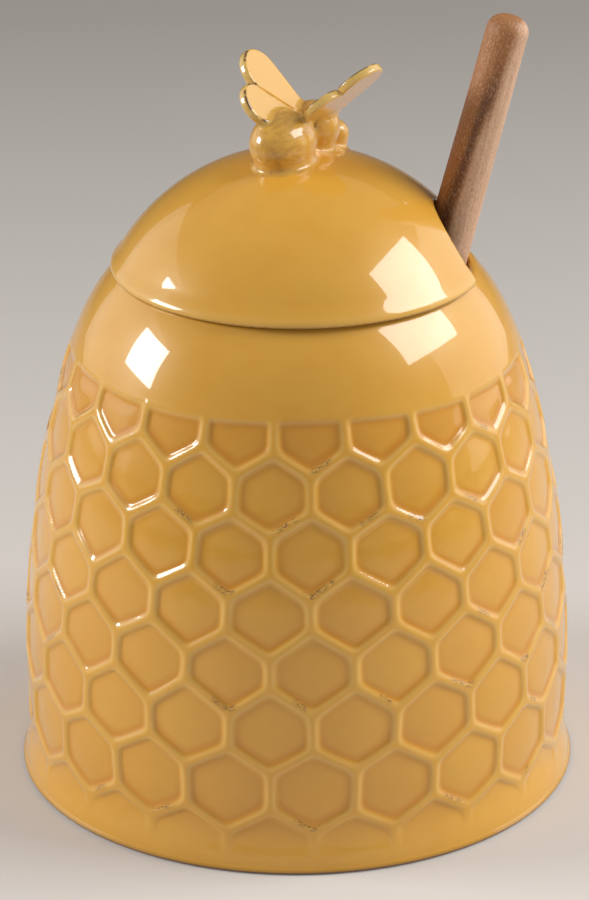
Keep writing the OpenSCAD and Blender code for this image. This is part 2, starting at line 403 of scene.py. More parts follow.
def comb_relief(angle, z, sites):
    """For points on the wall: distance to the middle line of the nearest ridge, the number of
    the cell, and the place in that cell, right and up."""
    radius = wall_r(z)
    nearest_row = np.argmin(np.abs(z[:, None] - np.array(ROW_Z)[None, :]), 1)
    number, away_x, away_y = [], [], []
    for step in (-1, 0, 1):
        row = np.clip(nearest_row + step, 0, len(ROW_Z) - 1)
        turn = (angle - COMB_TURN) / (2 * math.pi / CELLS) - (row % 2 == 1) / 2
        low = np.floor(turn).astype(int)
        for extra in (-1, 0, 1, 2):
            index = (row * CELLS + (low + extra) % CELLS)
            site = sites[index]
            off = (angle - site[:, 1] + math.pi) % (2 * math.pi) - math.pi
            number.append(np.where(nearest_row + step == row, index, -1))
            away_x.append(off * radius)
            away_y.append((z - site[:, 2]) * 1.03)
    number = np.stack(number, 1)
    away = np.stack([np.stack(away_x, 1), np.stack(away_y, 1)], -1)
    squared = (away ** 2).sum(-1)
    squared[number < 0] = 1e6
    first = squared.argmin(1)
    take = np.arange(len(z))
    middle = away[take, first]
    own = squared[take, first]
    apart = np.linalg.norm(away - middle[:, None], axis=2)
    apart[take, first] = 1
    # Past the end rows a cell turns up twice, no distance apart; those are left out below
    border = (squared - own[:, None]) / (2 * np.maximum(apart, 1e-9))
    border[take, first] = 1e3
    border[number < 0] = 1e3
    # A soft minimum rounds the corners of each cell
    least = border.min(1)
    distance = least - CORNER_SOFT * np.log(np.exp(-(border - least[:, None]) / CORNER_SOFT).sum(1))
    return distance, number[take, first], middle


def pot_profile(rows):
    """Outline of half the pot's section, from the axis under the base to the floor inside,
    and the stretch of it that is the outer wall."""
    ring_in = FOOT_R - FOOT_ROUND - FOOT_RING_W
    under = np.array([[0, FOOT_RECESS], [2, FOOT_RECESS], [ring_in - FOOT_RECESS - 4, FOOT_RECESS]])
    step = arc(ring_in - FOOT_RECESS, 0.9, 1.1, 90, 20, 4)
    ring = np.array([[ring_in - 0.6, 0.2], [ring_in + 0.2, 0], [ring_in + 4, 0], [FOOT_R - 3, 0]])
    foot = arc(FOOT_R - FOOT_ROUND, FOOT_ROUND, FOOT_ROUND, -80, 0, 6)
    heights = np.linspace(FOOT_ROUND, WALL_TOP_Z, rows + 1)[1:]
    flare = (FOOT_R - wall_r(BASE_BAND_H)) * (1 - smooth_step(0, BASE_BAND_H * 1.3, heights)) ** 1.3
    wall = np.stack([wall_r(heights) + flare, heights], 1)
    lean = math.degrees(math.atan2(wall_r(WALL_TOP_Z - 0.1) - wall_r(WALL_TOP_Z), 0.1))
    rim_middle_r = wall_r(WALL_TOP_Z) - RIM_ROUND * math.cos(math.radians(lean))
    rim = arc(rim_middle_r, RIM_Z - RIM_ROUND, RIM_ROUND, lean + 6, 90, 7)
    seat = np.array([[rim_middle_r - 0.03, RIM_Z]])
    mouth = arc(MOUTH_R + MOUTH_ROUND, RIM_Z - MOUTH_ROUND, MOUTH_ROUND, 88, 180, 6)
    gallery_z = RIM_Z - MOUTH_H
    gallery = arc(MOUTH_R + GALLERY_ROUND, gallery_z + GALLERY_ROUND, GALLERY_ROUND, 180, 230, 3)
    inner_z = np.linspace(gallery_z - GALLERY_SLOPE_H, FLOOR_Z + FLOOR_FILLET, 26)
    inner = np.stack([wall_r(inner_z) - WALL, inner_z], 1)
    corner = arc(inner[-1, 0] - FLOOR_FILLET, FLOOR_Z + FLOOR_FILLET, FLOOR_FILLET, -8, -90, 10)
    floor = np.array([[40, FLOOR_Z], [20, FLOOR_Z], [3, FLOOR_Z], [0, FLOOR_Z]])
    before = np.concatenate([under, step, ring, foot])
    after = np.concatenate([rim, seat, mouth, gallery, inner, corner, floor])
    return np.concatenate([before, wall, after]), len(before) - 1, len(before) - 1 + len(wall)


def make_pot():
    # An even number of columns, so that the fans that close the body can be quads
    columns, rows = ((CELLS * 42, 240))
    profile, first, last = pot_profile(rows)
    points, faces = revolved(profile, columns)
    turn = np.arctan2(points[:, 0], -points[:, 1])
    distance, cell, middle = comb_relief(turn, points[:, 2], comb_sites())
    on_wall = np.zeros(len(points), bool)
    on_wall[first * columns:last * columns] = True
    z = points[:, 2]
    # The topmost row is cut level, and the glaze softens that line unevenly
    top = COMB_TOP_Z + TOP_LINE_WAVE * np.sin(turn * 5 + 1) - z
    distance = soft_min(distance, top + RIDGE_HALF, TOP_LINE_SOFT)
    flank = smooth_step(RIDGE_HALF, RIDGE_HALF + FLANK_W, distance)
    fade = smooth_step(*COMB_FADE_Z, z)
    fade = fade * (1 - smooth_step(COMB_TOP_Z - 0.5, COMB_TOP_Z + 0.8, z))
    # The floor of a cell is dished: deepest near its edge, a little raised in the middle
    floor = FLOOR_CROWN * smooth_step(RIDGE_HALF + FLANK_W, 6.5, distance)
    crown = RIDGE_CROWN * smooth_step(RIDGE_HALF, 0, distance)
    sink = (CELL_DEPTH * flank - floor - crown) * fade
    sink[~on_wall] = 0
    slope = np.arctan2(-np.gradient(wall_r(np.linspace(0, RIM_Z, 400)), RIM_Z / 399), 1)
    lean = np.interp(z, np.linspace(0, RIM_Z, 400), slope)
    out = np.stack([np.sin(turn) * np.cos(lean), -np.cos(turn) * np.cos(lean), np.sin(lean)], 1)
    points = points - out * sink[:, None]
    pot = new_mesh("pot_body", *closed(points, faces, columns, profile))
    count = len(pot.data.vertices)

    def padded(values, fill=0.0):
        full = np.full(count, fill)
        full[:len(values)] = np.where(on_wall, values, fill)
        return full

    floor_edge = RIDGE_HALF + FLANK_W
    low_edge = smooth_step(0.5, 4.5, -middle[:, 1])
    pool = smooth_step(RIDGE_HALF + 0.2, floor_edge - 0.1, distance) * (
        1 - smooth_step(floor_edge + 0.2, floor_edge + POOL_W, distance))
    upper_row = smooth_step(*DARK_ROW_Z, z)
    pool = pool * fade * (0.3 + 0.7 * low_edge) + 0.45 * flank * fade * upper_row
    add_attribute(pot, "pool", padded(pool))
    # Glaze runs off the two edges of a ridge's top
    arris = np.exp(-((distance - RIDGE_HALF - 0.15) / ARRIS_W) ** 2)
    add_attribute(pot, "ridge", padded(arris * fade))
    tones = np.random.default_rng(5).random(len(ROW_Z) * CELLS)
    inside = smooth_step(0.2, floor_edge + 0.6, distance)
    add_attribute(pot, "tone", padded(tones[cell] * inside * fade))
    add_attribute(pot, "bare_clay_and_seam_shade", np.append(smooth_step(BARE_FOOT_H, BARE_FOOT_H - 0.6, z), [0, 0]))
    worn, along = worn_edges(distance, cell, middle)
    add_attribute(pot, "worn", padded(worn * fade))
    add_attribute(pot, "edge_along", padded(along))
    add_attribute(pot, "edge_across", padded(distance))
    return pot


def worn_edges(distance, cell, middle):
    """Where the brown wash is rubbed back: on the flank under the lower edge of some cells;
    and how far a point lies along its cell's edge."""
    picks = np.random.default_rng(7)
    cells = len(ROW_Z) * CELLS
    chance = picks.random(cells)
    where = picks.uniform(-40, 40, cells)
    span = picks.uniform(12, 34, cells)
    heading = np.degrees(np.arctan2(middle[:, 0], -middle[:, 1]))
    off = np.abs(heading - where[cell])
    along = 1 - smooth_step(span[cell] * 0.5, span[cell], off)
    outer = 1 - smooth_step(RIDGE_HALF + 0.5, RIDGE_HALF + 0.9, distance)
    across = smooth_step(0.0, 0.5, distance) * outer
    return along * across * (chance[cell] < WORN_SHARE), np.radians(heading) * 5.5 + cell * 7.3


def closed(points, faces, columns, profile):
    """Adds the two middle points that close a revolved body, and their fans as quads."""
    rows = len(points) // columns
    bottom, top = len(points), len(points) + 1
    middle = np.array([[0, 0, profile[0][1]], [0, 0, profile[-1][1]]])
    column = np.arange(0, columns, 2)
    ahead, beyond = (column + 1) % columns, (column + 2) % columns
    low = np.stack([np.full(len(column), bottom), beyond, ahead, column], 1)
    start = (rows - 1) * columns
    high = np.stack([np.full(len(column), top), start + column, start + ahead, start + beyond], 1)
    return np.concatenate([points, middle]), np.concatenate([faces, low, high])


# Lid

def lid_field(p):
    x, y, z = p[:, 0] - LID_X, p[:, 1], p[:, 2]
    around = np.hypot(x, y)
    ball = above_dome(p)
    flare = LIP_FLARE * (1 - smooth_step(0, LIP_H, z - RIM_Z))
    shell = soft_max(soft_max(ball - flare, RIM_Z - z, LIP_ROUND), -LID_WALL - ball, INNER_LIP_ROUND)
    flange = soft_max(np.abs(around - (FLANGE_R - FLANGE_T / 2)) - FLANGE_T / 2,
                      np.abs(z - (RIM_Z + 0.5 - FLANGE_H / 2)) - FLANGE_H / 2 - 0.5, FLANGE_ROUND)
    body = soft_min(shell, flange, FLANGE_FILLET)
    # The arch for the dipper: round above its centre, straight below it, its feet rounded off
    across = y * math.cos(ARCH_TURN) - x * math.sin(ARCH_TURN)
    up = z - RIM_Z - ARCH_STILT
    foot = ARCH_CORNER - np.clip(z - RIM_Z, 0.25, ARCH_CORNER)
    foot = ARCH_CORNER - np.sqrt(ARCH_CORNER ** 2 - foot ** 2)
    arch = np.where(up > 0, np.hypot(across, up), np.abs(across)) - ARCH_R - foot
    arch = np.where(x < ARCH_R, np.maximum(arch, ARCH_R - x), arch)
    return soft_max(body, -arch, ARCH_ROUND)


def make_lid():
    step = 0.62
    reach = DOME_R
    lid, points = skin("lid_dome", lid_field, (-reach, -reach, RIM_Z - FLANGE_H - 2),
                       (reach, reach, RIM_Z + DOME_H + 2), step)
    edge = 1 - smooth_step(0.8, 3.4, points[:, 2] - RIM_Z)
    outside = smooth_step(-3, -1, above_dome(points))
    add_attribute(lid, "ridge", 0.7 * edge * outside)
    # The seat, where the lid stands on the rim, has no glaze; the flange inside it has. Its dark
    # brown is also painted shade, for the shadow line under the lid's lip
    around = np.hypot(points[:, 0] - LID_X, points[:, 1])
    above_rim = points[:, 2] - RIM_Z
    seat = smooth_step(FLANGE_R + 0.6, FLANGE_R + 1.2, around) * smooth_step(-0.6, -0.2, above_rim)
    # Painted shade: the seat's dark brown stands in for the shadow line under the lid's lip
    add_attribute(lid, "bare_clay_and_seam_shade", seat * smooth_step(0.9, 0.1, above_rim))
    return lid


# Bee

def ellipsoid(p, centre, axis, half_length, half_width):
    """Distance, near enough, to an egg-like form round an axis."""
    off = p - centre
    along = off @ axis
    across = np.linalg.norm(off - along[:, None] * axis, axis=1)
    k = np.hypot(along / half_length, across / half_width)
    slope = np.hypot(along / half_length ** 2, across / half_width ** 2)
    return k * (k - 1) / np.clip(slope, 1e-6, None)


def bee_parts():
    spine = np.array([math.sin(SPINE_TURN), math.cos(SPINE_TURN), 0])
    thorax = on_dome(*THORAX, THORAX_LIFT)
    abdomen = on_dome(*(THORAX - ABDOMEN_BACK * spine[:2] + ABDOMEN_SHIFT), ABDOMEN_LIFT)
    head = on_dome(*(THORAX + HEAD_AHEAD * spine[:2]), HEAD_LIFT)
    return spine, abdomen, thorax, head


def bee_body_field(p):
    spine, abdomen, thorax, head = bee_parts()
    form = soft_min(ellipsoid(p, abdomen, spine, ABDOMEN_HALF_L, ABDOMEN_HALF_W),
                    np.linalg.norm(p - thorax, axis=1) - THORAX_R, WAIST_FILLET)
    form = soft_min(form, np.linalg.norm(p - head, axis=1) - HEAD_R, NECK_FILLET)
    ball = above_dome(p)
    fused = soft_min(form, ball + 0.12, LUTE_FILLET)
    return np.maximum(np.maximum(fused, -LUTE_DEPTH - ball), form - LUTE_REACH)


def make_bee_body():
    spine, abdomen, thorax, head = bee_parts()
    step = 0.36
    low = np.minimum(abdomen, head) - [14, 14, 9]
    high = np.maximum(thorax, head) + [11, 11, 9]
    bee, points = skin("bee_body", bee_body_field, low, high, step)
    along = (points - abdomen) @ spine
    add_attribute(bee, "tail", 1 - smooth_step(4, 9, along))
    add_attribute(bee, "corner_shade", pit_shade(points))
    return bee


def drop_distance(x, y, sweep, round_r, reach, root_r=WING_ROOT_R):
    """Signed distance to a flat drop: a round end drawn in to its root."""
    c, s = math.cos(sweep), math.sin(sweep)
    u, v = x * c - y * s, np.abs(x * s + y * c)
    b = (root_r - round_r) / reach
    a = math.sqrt(1 - b * b)
    near = np.hypot(u, v) - root_r
    far = np.hypot(u - reach, v) - round_r
    side = a * v + b * u - root_r
    along = u * a + v * -b
    return np.where(along < 0, near, np.where(along > a * reach, far, side))


def wing_outline(q, side):
    """Distance to the wing's edge, and how much nearer the hind wing is than the fore wing."""
    hind_reach = (WING_LEFT if side < 0 else WING_RIGHT)[3]
    fore = drop_distance(q[:, 0], q[:, 1], FORE_SWEEP, FORE_END_R, FORE_REACH)
    hind = drop_distance(q[:, 0], q[:, 1], HIND_SWEEP, HIND_END_R, hind_reach)
    return soft_min(fore, hind, 0.5), fore - hind


def wing_frame(side):
    """Columns are the wing's own axes: outwards, towards the head, and up from its face."""
    turn, rise, roll, _ = WING_LEFT if side < 0 else WING_RIGHT
    c, s = math.cos(turn), math.sin(turn)
    right = np.array([c, -s, 0]) * side
    ahead = np.array([s, c, 0])
    out = right * math.cos(rise) + np.array([0, 0, math.sin(rise)])
    top = np.cross(out, ahead) * side
    return np.stack([out, ahead * math.cos(roll) - top * math.sin(roll),
                     top * math.cos(roll) + ahead * math.sin(roll)], 1)


def make_wing(side, name):
    axes = wing_frame(side)
    spine, abdomen, thorax, _ = bee_parts()

    def field(p):
        q = (p - thorax) @ axes
        flat, seam = wing_outline(q, side)
        # A groove pressed in the upper face parts the fore wing from the hind wing
        groove = WING_SEAM_DEPTH * np.exp(-(seam / WING_SEAM_W) ** 2) * (q[:, 2] > 0)
        a, b = flat + WING_EDGE, np.abs(q[:, 2]) + groove - WING_HALF_T + WING_EDGE
        slab = (np.hypot(np.clip(a, 0, None), np.clip(b, 0, None))
                + np.minimum(np.maximum(a, b), 0) - WING_EDGE)
        body = soft_min(np.linalg.norm(p - thorax, axis=1) - THORAX_R,
                        ellipsoid(p, abdomen, spine, ABDOMEN_HALF_L, ABDOMEN_HALF_W),
                        WAIST_FILLET)
        fused = soft_min(slab, body + 0.15, ROOT_FILLET)
        return np.maximum(np.maximum(fused, -ROOT_DEPTH - body), slab - ROOT_REACH)

    corners = np.array([[x, y, z] for x in (-3, 26) for y in (-22, 9) for z in (-2.5, 2.5)])
    corners = corners @ axes.T + thorax
    step = 0.3
    wing, points = skin(name, field, corners.min(0), corners.max(0), step)
    q = (points - thorax) @ axes
    flat, seam = wing_outline(q, side)
    add_attribute(wing, "rim", smooth_step(-0.55, -0.15, flat))
    # The brown line lies on the upper edge of the trailing side, and runs in along the groove
    trailing = q[:, 1] * math.cos(FORE_SWEEP) + q[:, 0] * math.sin(FORE_SWEEP) < 2.0
    arris = np.hypot(flat + 0.3, q[:, 2] - WING_HALF_T + 0.15)
    line = np.clip(1.45 - arris / 0.3, 0, 1) * trailing
    inner = np.clip(1 - np.abs(seam) / 0.45, 0, 1) * (q[:, 2] > 0) * (q[:, 0] > 8)
    free = np.linalg.norm(points - thorax, axis=1) > 8
    add_attribute(wing, "line", np.maximum(line, 0.6 * inner) * free)
    add_attribute(wing, "corner_shade", pit_shade(points))
    return wing


def pit_shade(points):
    """The deep corner between the abdomen and the right wing, darkened as painted shade."""
    _, abdomen, thorax, _ = bee_parts()
    out = wing_frame(1)[:, 0]
    corner = thorax + 0.5 * (abdomen - thorax) + 5.0 * out - [0, 1.0, 1.2]
    return np.exp(-(np.linalg.norm(points - corner, axis=1) / 1.5) ** 2)


# Dipper

def make_dipper():
    joint = [j for j in frame["joints"] if j["name"] == "dipper_slide"][0]
    axis = np.array(joint["axis"], float)
    axis /= np.linalg.norm(axis)
    nodes = frame["nodes"]["dipper"].data.vertices
    points = np.array([v.co for v in nodes]) / MM
    along = points @ axis
    # The middles of the dipper's two ends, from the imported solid
    foot = points[along < along.min() + 0.01].mean(0)
    tip = points[along > along.max() - 0.01].mean(0)
    length = (tip - foot) @ axis
    barrel = (HEAD_L ** 2 / 4 + (HEAD_MID_R - HEAD_END_R) ** 2) / (2 * (HEAD_MID_R - HEAD_END_R))

    def head_r(z):
        return HEAD_MID_R - barrel + math.sqrt(barrel ** 2 - (z - HEAD_L / 2) ** 2)

    profile = [[0, 0], [4, 0], [HEAD_END_R - HEAD_EDGE, 0], [HEAD_END_R - 0.2, 0.2],
               [HEAD_END_R, HEAD_EDGE]]
    pitch = HEAD_L / (GROOVES + 1)
    for i in range(1, GROOVES + 1):
        z0, z1 = i * pitch - GROOVE_W / 2, i * pitch + GROOVE_W / 2
        r0, r1 = head_r(z0), head_r(z1)
        profile += [[head_r(z0 - 0.9), z0 - 0.9], [r0 - 0.1, z0 - 0.25], [r0 - 0.5, z0],
                    [CORE_R + 0.6, z0 + 0.15], [CORE_R, z0 + 0.7], [CORE_R, z1 - 0.7],
                    [CORE_R + 0.6, z1 - 0.15], [r1 - 0.5, z1], [r1 - 0.1, z1 + 0.25],
                    [head_r(z1 + 0.9), z1 + 0.9]]
    profile += [[HEAD_END_R, HEAD_L - HEAD_EDGE], [HEAD_END_R - HEAD_EDGE, HEAD_L]]
    profile += [[NECK_R + 0.6, HEAD_L], [NECK_R, HEAD_L + 0.7], [NECK_R, HEAD_L + NECK_L / 3]]
    for t in np.linspace(0.15, 1, 6):
        profile.append([NECK_R + (HANDLE_R - NECK_R) * float(smooth_step(0, 1, t)),
                        HEAD_L + NECK_L / 3 + NECK_L * 2 / 3 * t])
    for z in np.linspace(HEAD_L + NECK_L + 4, length - TIP_ROUND - 1, 24):
        taper = (HANDLE_R - TIP_R) * smooth_step(length - TAPER_L, length, z)
        profile.append([HANDLE_R - taper + HANDLE_WAVE * math.sin(z / 17), z])
    profile += arc(TIP_R - TIP_ROUND, length - TIP_ROUND, TIP_ROUND, 0, 84, 10).tolist()
    profile += [[0.7, length], [0, length]]
    columns = 64
    points, faces = revolved(profile, columns)
    points, faces = closed(points, faces, columns, profile)
    dipper = new_mesh("dipper_turned", points, faces)
    up = Vector(axis)
    side = Vector((0, 1, 0)).cross(up).normalized()
    turn = Matrix((side, up.cross(side), up)).transposed().to_4x4()
    # A little inwards, so that the handle, thicker here than in the solid, still clears the rim
    dipper.matrix_world = Matrix.Translation(Vector(foot - [DIPPER_SHIFT, 0, 0]) * MM) @ turn
    return dipper


# Materials

def colour(code):
    """An sRGB hex colour as a linear RGBA tuple."""
    parts = [int(code[i:i + 2], 16) / 255 for i in (1, 3, 5)]
    linear = [c / 12.92 if c <= 0.04045 else ((c + 0.055) / 1.055) ** 2.4 for c in parts]
    return (*linear, 1.0)


def add_node(tree, kind, output, settings=None, **inputs):
    """Adds a node and gives one of its outputs. An input is a value or another node's output,
    and an underscore with a number stands for an input by its place."""
    node = tree.nodes.new("ShaderNode" + kind)
    for name, value in (settings or {}).items():
        setattr(node, name, value)
    for name, value in inputs.items():
        key = int(name[1:]) if name[1:].isdigit() else name.replace("_", " ")
        if isinstance(value, bpy.types.NodeSocket):
            tree.links.new(value, node.inputs[key])
        else:
            node.inputs[key].default_value = value
    return node.outputs[output]


def new_material(name, **settings):
    material = bpy.data.materials.new(name)
    material.use_nodes = True
    tree = material.node_tree
    shader = tree.nodes["Principled BSDF"]
    for key, value in settings.items():
        shader.inputs[key.replace("_", " ")].default_value = value
    return material, tree, shader


def lay_over(tree, base, mask, share, tint):
    """Lays a tint over the base as far as the mask says, and at most by the given share."""
    factor = add_node(tree, "Math", 0, {"operation": "MULTIPLY", "use_clamp": True}, _0=mask, _1=share)
    return add_node(tree, "Mix", 2, {"data_type": "RGBA"}, Factor=factor, _6=base, _7=colour(tint))


def honey_glaze():
    """Transparent amber glaze over pale stoneware, fired glossy: it looks wet, deeper in colour
    where it pools and paler where it is thin, on the ridges."""
    material, tree, shader = new_material(
        "honey_amber_glaze_on_stoneware", Roughness=0.35, Specular_IOR_Level=0.25,
        Coat_Weight=1.0, Coat_Roughness=0.045, Coat_IOR=1.5)
    place = add_node(tree, "TexCoord", "Object")
    cloud = add_node(tree, "TexNoise", "Fac", Vector=place, Scale=1 / (CLOUD_W * MM), Detail=3.0,
                     Roughness=0.5)
    base = lay_over(tree, colour("#DFA136"), cloud, 1.0, "#E9B144")
    mottle = add_node(tree, "TexNoise", "Fac", Vector=place, Scale=1 / (MOTTLE_W * MM), Detail=4.0,
                      Roughness=0.6)
    mottle = add_node(tree, "MapRange", "Result", Value=mottle, From_Min=0.40, From_Max=0.70)
    base = lay_over(tree, base, mottle, 0.25, "#DB962A")
    # Each cell's own tone, thin glaze on the ridges, pools beside them, and bare clay, fired
    # brown, on the foot ring and the lid's seat, where its dark brown is also painted shade for the
    # shadow line under the lip: each lies where the mesh's attribute says
    for name, share, tint in (("tone", 0.35, "#D8983C"), ("ridge", 0.55, "#EBC068"),
                              ("pool", 0.7, "#D48A1C"), ("bare_clay_and_seam_shade", 0.9, "#6B4424")):
        mask = add_node(tree, "Attribute", "Fac", {"attribute_name": name})
        base = lay_over(tree, base, mask, share, tint)
    # The brown wash stays as scratches along a cell's edge; its attributes are in millimetres
    along = add_node(tree, "Attribute", "Fac", {"attribute_name": "edge_along"})
    across = add_node(tree, "Attribute", "Fac", {"attribute_name": "edge_across"})
    edge = add_node(tree, "CombineXYZ", 0, X=along, Y=across)
    edge = add_node(tree, "Mapping", "Vector", Vector=edge, Scale=(1 / SCRATCH_L, 1 / SCRATCH_W, 1.0))
    scratch = add_node(tree, "TexNoise", "Fac", Vector=edge, Scale=1.0, Detail=3.0, Roughness=0.7)
    scratch = add_node(tree, "MapRange", "Result", Value=scratch, From_Min=0.47, From_Max=0.58)
    worn = add_node(tree, "Attribute", "Fac", {"attribute_name": "worn"})
    worn = add_node(tree, "Math", 0, {"operation": "MULTIPLY"}, _0=worn, _1=scratch)
    base = lay_over(tree, base, worn, 0.85, "#643426")
    tree.links.new(base, shader.inputs["Base Color"])
    return material


def bee_glaze():
    """The same glossy glaze over a brown wash brushed along the abdomen, which shows through it
    as faint strokes and smudges."""
    material, tree, shader = new_material(
        "honey_glaze_over_brushed_wash", Roughness=0.35, Specular_IOR_Level=0.25,
        Coat_Weight=1.0, Coat_Roughness=0.03, Coat_IOR=1.5)
    place = add_node(tree, "TexCoord", "Object")
    turned = add_node(tree, "Mapping", "Vector", Vector=place, Rotation=(0, 0, SPINE_TURN))
    stroke = add_node(tree, "Mapping", "Vector", Vector=turned, Scale=(1.0, BRUSH_W / BRUSH_L, 1.0))
    brush = add_node(tree, "TexNoise", "Fac", Vector=stroke, Scale=1 / (BRUSH_W * MM), Detail=3.0,
                     Roughness=0.6)
    brush = add_node(tree, "MapRange", "Result", Value=brush, From_Min=0.46, From_Max=0.66)
    smudge = add_node(tree, "TexNoise", "Fac", Vector=turned, Scale=1 / (SMUDGE_W * MM), Detail=4.0,
                      Roughness=0.7)
    smudge = add_node(tree, "MapRange", "Result", Value=smudge, From_Min=0.50, From_Max=0.66)
    tail = add_node(tree, "Attribute", "Fac", {"attribute_name": "tail"})
    base = colour("#E2AC48")
    for mark, share, tint in ((brush, 0.4, "#A8722E"), (smudge, 0.22, "#96623C")):
        mark = add_node(tree, "Math", 0, {"operation": "MULTIPLY"}, _0=mark, _1=tail)
        base = lay_over(tree, base, mark, share, tint)
    # Painted shade in the deep corner between the abdomen and the right wing
    corner_shade = add_node(tree, "Attribute", "Fac", {"attribute_name": "corner_shade"})
    base = lay_over(tree, base, corner_shade, 1.0, "#3A2810")
    tree.links.new(base, shader.inputs["Base Color"])
    return material


def wing_glaze():
    """Glossy honey glaze, thin on the wing's edge, where the pale body shows through; a broken
    brown line lies along the arris."""
    material, tree, shader = new_material(
        "pale_honey_glaze_on_wings", Roughness=0.35, Specular_IOR_Level=0.25,
        Coat_Weight=1.0, Coat_Roughness=0.03, Coat_IOR=1.5)
    place = add_node(tree, "TexCoord", "Object")
    rim = add_node(tree, "Attribute", "Fac", {"attribute_name": "rim"})
    base = lay_over(tree, colour("#E6B04A"), rim, 1.0, "#E2BA66")
    broken = add_node(tree, "TexNoise", "Fac", Vector=place, Scale=1 / (LINE_BREAK_W * MM), Detail=2.0)
    broken = add_node(tree, "MapRange", "Result", Value=broken, From_Min=0.42, From_Max=0.52)
    line = add_node(tree, "Attribute", "Fac", {"attribute_name": "line"})
    line = add_node(tree, "Math", 0, {"operation": "MULTIPLY"}, _0=line, _1=broken)
    base = lay_over(tree, base, line, 1.0, "#4A2810")
    # Painted shade in the deep corner between the abdomen and the right wing
    corner_shade = add_node(tree, "Attribute", "Fac", {"attribute_name": "corner_shade"})
    base = lay_over(tree, base, corner_shade, 1.0, "#3A2810")
    tree.links.new(base, shader.inputs["Base Color"])
    return material


def turned_wood():
    """Wood turned, sanded and left bare, its kind guessed from its colour: half matt, with long
    fibres and short pores. A dark band down the front is painted shade, and a paler right side
    is painted light from the right lamp."""
    material, tree, shader = new_material("walnut_turned_and_sanded", Roughness=0.48, IOR=1.5)
    place = add_node(tree, "TexCoord", "Object")
    across = add_node(tree, "SeparateXYZ", "X", Vector=place)
    along = add_node(tree, "SeparateXYZ", "Z", Vector=place)
    # The painted shade band and the painted lit side slant across the handle, and wander about a
    # millimetre
    slow = add_node(tree, "Mapping", "Vector", Vector=place, Scale=(1.0, 1.0, WANDER_W / WANDER_L))
    drift = add_node(tree, "TexNoise", "Fac", Vector=slow, Scale=1 / (WANDER_W * MM), Detail=1.0)
    drift = add_node(tree, "Math", 0, {"operation": "SUBTRACT"}, _0=drift, _1=0.5)
    drift = add_node(tree, "Math", 0, {"operation": "MULTIPLY"}, _0=drift, _1=WANDER * MM)
    slant = add_node(tree, "Math", 0, {"operation": "SUBTRACT"}, _0=along, _1=SHADE_BAND_Z * MM)
    slant = add_node(tree, "Math", 0, {"operation": "MULTIPLY"}, _0=slant, _1=SHADE_BAND_SLANT)
    across = add_node(tree, "Math", 0, {"operation": "ADD"}, _0=across, _1=slant)
    across = add_node(tree, "Math", 0, {"operation": "ADD"}, _0=across, _1=drift)
    # Painted light: the right side, where the right lamp falls, is paler
    painted_lit_side = add_node(tree, "MapRange", "Result", Value=across, From_Min=LIT_SIDE_FROM_X * MM,
                       From_Max=LIT_SIDE_FULL_X * MM)
    # Painted shade: a dark band down the front of the handle, between the two lit sides
    off = add_node(tree, "Math", 0, {"operation": "SUBTRACT"}, _0=across, _1=SHADE_BAND_X * MM)
    off = add_node(tree, "Math", 0, {"operation": "ABSOLUTE"}, _0=off)
    painted_shade_band = add_node(tree, "MapRange", "Result", Value=off, From_Min=SHADE_BAND_HALF_W * MM,
                      From_Max=SHADE_BAND_CORE_HALF_W * MM)
    # The painted shade band dies out near the tip
    end = add_node(tree, "MapRange", "Result", Value=along, From_Min=SHADE_BAND_END_Z * MM,
                   From_Max=SHADE_BAND_FADE_Z * MM)
    painted_shade_band = add_node(tree, "Math", 0, {"operation": "MULTIPLY"}, _0=painted_shade_band, _1=end)
    fibre = add_node(tree, "Mapping", "Vector", Vector=place, Scale=(1.0, 1.0, FIBRE_W / FIBRE_L))
    fibre = add_node(tree, "TexNoise", "Fac", Vector=fibre, Scale=1 / (FIBRE_W * MM), Detail=4.0,
                     Roughness=0.65)
    fibre = add_node(tree, "MapRange", "Result", Value=fibre, From_Min=0.36, From_Max=0.64)
    pore = add_node(tree, "Mapping", "Vector", Vector=place, Scale=(1.0, 1.0, PORE_W / PORE_L))
    pore = add_node(tree, "TexNoise", "Fac", Vector=pore, Scale=1 / (PORE_W * MM), Detail=2.0)
    pale = add_node(tree, "MapRange", "Result", Value=pore, From_Min=0.52, From_Max=0.68)
    dark = add_node(tree, "MapRange", "Result", Value=pore, From_Min=0.46, From_Max=0.34)
    base = colour("#B0743E")
    for mask, share, tint in ((painted_lit_side, 1.0, "#DDB290"), (painted_shade_band, 0.85, "#5E3418"),
                              (fibre, 0.3, "#8A5834"), (dark, 0.25, "#5A3820"), (pale, 0.3, "#EBCDB2")):
        base = lay_over(tree, base, mask, share, tint)
    tree.links.new(base, shader.inputs["Base Color"])
    height = add_node(tree, "Math", 0, {"operation": "SUBTRACT"}, _0=fibre, _1=dark)
    grain = add_node(tree, "Bump", "Normal", Height=height, Strength=0.3, Distance=GRAIN_DEPTH * MM)
    tree.links.new(grain, shader.inputs["Normal"])
    return material


